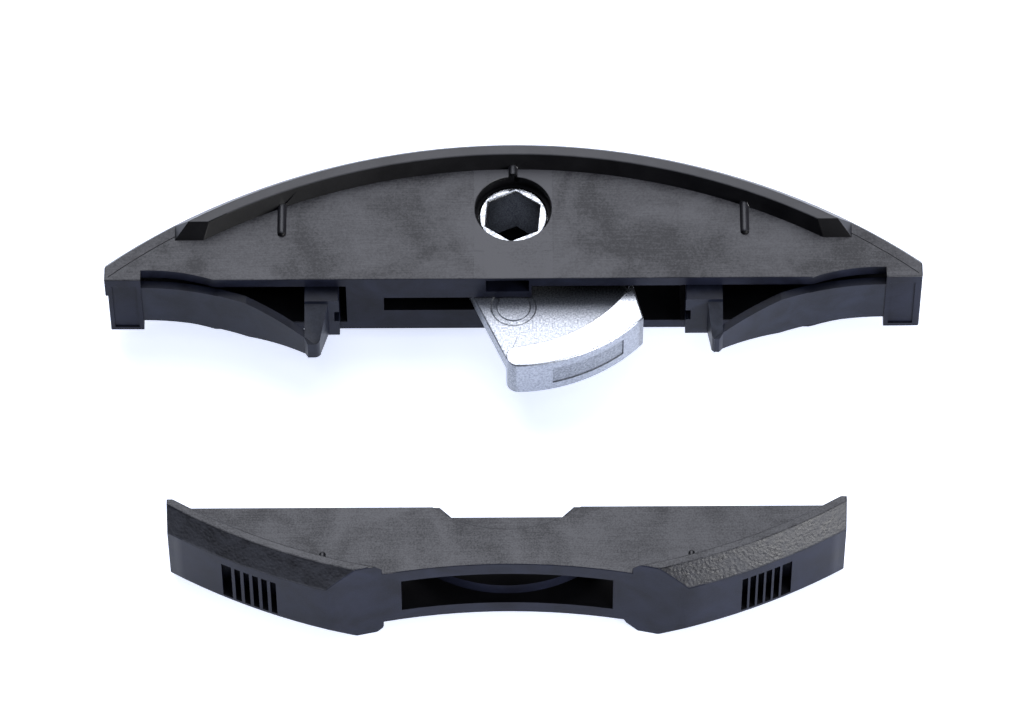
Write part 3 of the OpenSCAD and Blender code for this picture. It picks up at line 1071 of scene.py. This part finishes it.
@dataclass
class CounterHousing:
    """The short moulded housing that the lever's claw pulls against.

    Attributes:
        plate_mm: Height of the plates over the mid-plane.
        rim_ease_mm: Rounding of the rims' edges.
        plate_ease_mm: Rounding of the plates' edges.
        bevel_edge_mm: Height over the mid-plane from which an edge is the bevels'.
        bevel_ease_mm: Rounding of the bevels' lower edges.
        bevel_mm: Height over the mid-plane from which a slanted face is a bevel.
        field_mm: Depth under the plates down to which a level face takes their finish.
    """

    plate_mm: float = 3.5
    rim_ease_mm: float = 0.1
    plate_ease_mm: float = 0.08
    bevel_edge_mm: float = 2.65
    bevel_ease_mm: float = 0.12
    bevel_mm: float = 2.6
    field_mm: float = 0.3

    def __post_init__(self) -> None:
        """Takes the housing's place from the frame."""
        low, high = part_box("counter_housing")
        self.mid_z = (low.z + high.z) / 2 / MM

    def ease_mm(self, middle: Vector, along: Vector, fold: float) -> float:
        """Finds the rounding of an edge of the counter housing.

        Args:
            middle: The edge's middle, in millimetres.
            along: The edge's direction; not used.
            fold: The edge's signed turn, above 0 where the surface bends outwards.

        Returns:
            The rounding's width in millimetres, or 0 for a crisp edge.
        """
        height = abs(middle.z - self.mid_z)
        if height > self.plate_mm + NEAR_MM:
            return self.rim_ease_mm
        if fold > 0 and height > self.plate_mm - NEAR_MM:
            return self.plate_ease_mm
        if fold > 0 and height > self.bevel_edge_mm:
            return self.bevel_ease_mm
        return 0.0

    def finish_of(self, centre: Vector, normal: Vector) -> Finish:
        """Finds the finish of a face of the counter housing.

        Args:
            centre: The face's centre, in millimetres.
            normal: The face's normal.

        Returns:
            The finish.
        """
        height = abs(centre.z - self.mid_z)
        if abs(normal.z) > 0.99 and height > self.plate_mm - self.field_mm:
            return Finish.COUNTER_PLATE
        if normal.y < -0.3 and 0.25 < abs(normal.z) < 0.6 and height > self.bevel_mm:
            return Finish.SPARKED
        if height > self.bevel_mm and abs(normal.z) > 0.3:
            return Finish.RIM
        # Upright faces take the blue-black copy: painted shade.
        if normal.y < -0.3 or normal.y > 0.5 or abs(normal.x) > 0.9:
            return Finish.FRONT
        # The rest takes the near-black copy: painted shade.
        return Finish.HOLLOW

    def build(self) -> list[bpy.types.Object]:
        """Builds the counter housing.

        Returns:
            The counter housing's pieces.
        """
        work = WorkedPiece("counter_housing", "counter_housing_shell", "counter_half", "counter_plastic")
        shell = work.make(
            self.ease_mm,
            self.finish_of,
            (Finish.COUNTER_PLATE, Finish.SPARKED, Finish.RIM, Finish.FRONT, Finish.HOLLOW),
        )
        return [shell]


# ---------------------------------------------------------------------------------------------------------------------
# Studio
# ---------------------------------------------------------------------------------------------------------------------


@dataclass(frozen=True)
class Softbox:
    """A rectangular soft light that faces the object.

    Attributes:
        name: The light's name.
        azimuth_deg: Direction round the object, with 0 on the camera's side and 90 to its right.
        elevation_deg: Height of that direction above the floor.
        distance_m: Distance from the object.
        width_m: Width, level.
        height_m: Height.
        radiance: Brightness of the lit sheet, against 1 for white.
        colour: Colour of the light.
    """

    name: str
    azimuth_deg: float
    elevation_deg: float
    distance_m: float
    width_m: float
    height_m: float
    radiance: float
    colour: str = "#ffffff"

    def hang(self) -> None:
        """Puts the light in the scene."""
        # A sheet of area A and radiance L gives off pi A L watts.
        lamp = bpy.data.lights.new(self.name, "AREA")
        lamp.shape = "RECTANGLE"
        lamp.size, lamp.size_y = self.width_m, self.height_m
        lamp.energy = math.pi * self.width_m * self.height_m * self.radiance
        lamp.color = linear(self.colour)[:3]
        light = bpy.data.objects.new(self.name, lamp)
        turn, rise = math.radians(self.azimuth_deg), math.radians(self.elevation_deg)
        away = Vector((math.sin(turn) * math.cos(rise), -math.cos(turn) * math.cos(rise), math.sin(rise)))
        light.location = away * self.distance_m
        light.rotation_mode = "QUATERNION"
        light.rotation_quaternion = (-away).to_track_quat("-Z", "Y")
        bpy.context.scene.collection.objects.link(light)
        LOG.info("%s hangs at %.0f, %.0f degrees", self.name, self.azimuth_deg, self.elevation_deg)


@dataclass
class Studio:
    """Floor, lights, surroundings and camera.

    Attributes:
        elevation_deg: Height of the camera's direction above the floor.
        distance_mm: Distance of the camera from its aim.
        lens_mm: Focal length.
        sensor_mm: Width of the camera's sensor.
        roll_deg: Turn of the camera about its line of sight.
        aim_mm: Point that the camera looks at.
        clip_m: Nearest and farthest distance that the camera sees.
        floor_m: Length of the floor's sides.
        floor_drop_mm: Depth of the floor under the object, so that the two never share a plane.
        card_r_mm: Radius of the black card that paints the shade under the key socket.
        card_back_mm: Distance of the card's centre behind the lever's axis.
        card_drop_mm: Depth of the card under the object.
        surroundings: Colour of the surroundings' light.
        surroundings_strength: Brightness of that light.
        lights: The softboxes.
    """

    elevation_deg: float = 57.123
    distance_mm: float = 500.0
    lens_mm: float = 227.7
    sensor_mm: float = 36.0
    roll_deg: float = -0.292
    aim_mm: tuple[float, float, float] = (-0.15, 1.26, 5.77)
    clip_m: tuple[float, float] = (0.01, 20.0)
    floor_m: float = 6.0
    floor_drop_mm: float = 0.02
    card_r_mm: float = 3.0
    card_back_mm: float = 1.5
    card_drop_mm: float = 0.01
    surroundings: str = "#e9eef6"
    surroundings_strength: float = 0.12
    lights: tuple[Softbox, ...] = field(
        default_factory=lambda: (
            Softbox("back_softbox", 186, 51, 0.8, 0.7, 0.85, 3.4, "#f3f5ff"),
            Softbox("top_softbox", 0, 86, 0.9, 1.0, 0.9, 1.0, "#e3eaff"),
            Softbox("right_strip", 46, 9, 0.6, 0.3, 0.2, 32.0),
        )
    )

    def build(self) -> None:
        """Builds the studio round the object."""
        self._lay_floor()
        self._light()
        self._stand_camera()

    def _lay_floor(self) -> None:
        """Lays the light table under the object."""
        half = self.floor_m / 2
        mesh = bpy.data.meshes.new("floor")
        mesh.from_pydata([(-half, -half, 0), (half, -half, 0), (half, half, 0), (-half, half, 0)], [], [(0, 1, 2, 3)])
        mesh.materials.append(Finish.FLOOR.material())
        floor = bpy.data.objects.new("floor", mesh)
        floor.location.z = -self.floor_drop_mm * MM
        bpy.context.scene.collection.objects.link(floor)
        self._lay_socket_shade()

    def _lay_socket_shade(self) -> None:
        """Lays a black card on the table, under the key socket, as painted shade in the socket."""
        axis = next(j for j in frame["joints"] if j["name"] == "lever_turn")["pos_m"]
        bm = bmesh.new()
        bmesh.ops.create_circle(bm, cap_ends=True, segments=48, radius=self.card_r_mm * MM)
        mesh = bpy.data.meshes.new("socket_shade_disc")
        bm.to_mesh(mesh)
        bm.free()
        mesh.materials.append(Finish.MASK.material())
        card = bpy.data.objects.new("socket_shade_disc", mesh)
        # The view through the socket meets the table a little behind the socket.
        card.location = (axis[0], axis[1] + self.card_back_mm * MM, -self.card_drop_mm * MM)
        bpy.context.scene.collection.objects.link(card)

    def _light(self) -> None:
        """Hangs the softboxes and sets the pale surroundings."""
        for softbox in self.lights:
            softbox.hang()
        world = bpy.data.worlds.new("studio")
        world.use_nodes = True
        world.node_tree.nodes.clear()
        glow = add_node(
            world.node_tree,
            "ShaderNodeBackground",
            values={"Color": linear(self.surroundings), "Strength": self.surroundings_strength},
        )
        add_node(world.node_tree, "ShaderNodeOutputWorld", links={"Surface": glow.outputs["Background"]})
        bpy.context.scene.world = world

    def _stand_camera(self) -> None:
        """Stands the camera in front of and above the object."""
        lens = bpy.data.cameras.new("camera")
        lens.lens = self.lens_mm
        lens.sensor_width = self.sensor_mm
        lens.clip_start, lens.clip_end = self.clip_m
        camera = bpy.data.objects.new("camera", lens)
        rise = math.radians(self.elevation_deg)
        back = Vector((0.0, -math.cos(rise), math.sin(rise)))
        camera.location = Vector(self.aim_mm) * MM + back * self.distance_mm * MM
        camera.rotation_mode = "QUATERNION"
        roll = Quaternion((0.0, 0.0, 1.0), math.radians(self.roll_deg))
        camera.rotation_quaternion = (-back).to_track_quat("-Z", "Y") @ roll
        bpy.context.scene.collection.objects.link(camera)
        bpy.context.scene.camera = camera


def main() -> None:
    """Builds every sub-assembly and the studio."""
    logging.basicConfig(level=logging.INFO, format="%(message)s")
    bpy.context.scene.view_settings.view_transform = "Standard"
    parts = [LeverHousing(), SprungArm("left"), SprungArm("right"), CamLever(), CounterHousing()]
    for part in parts:
        for piece in part.build():
            LOG.info("built %s", piece.name)
    Studio().build()


if __name__ == "__main__":
    main()
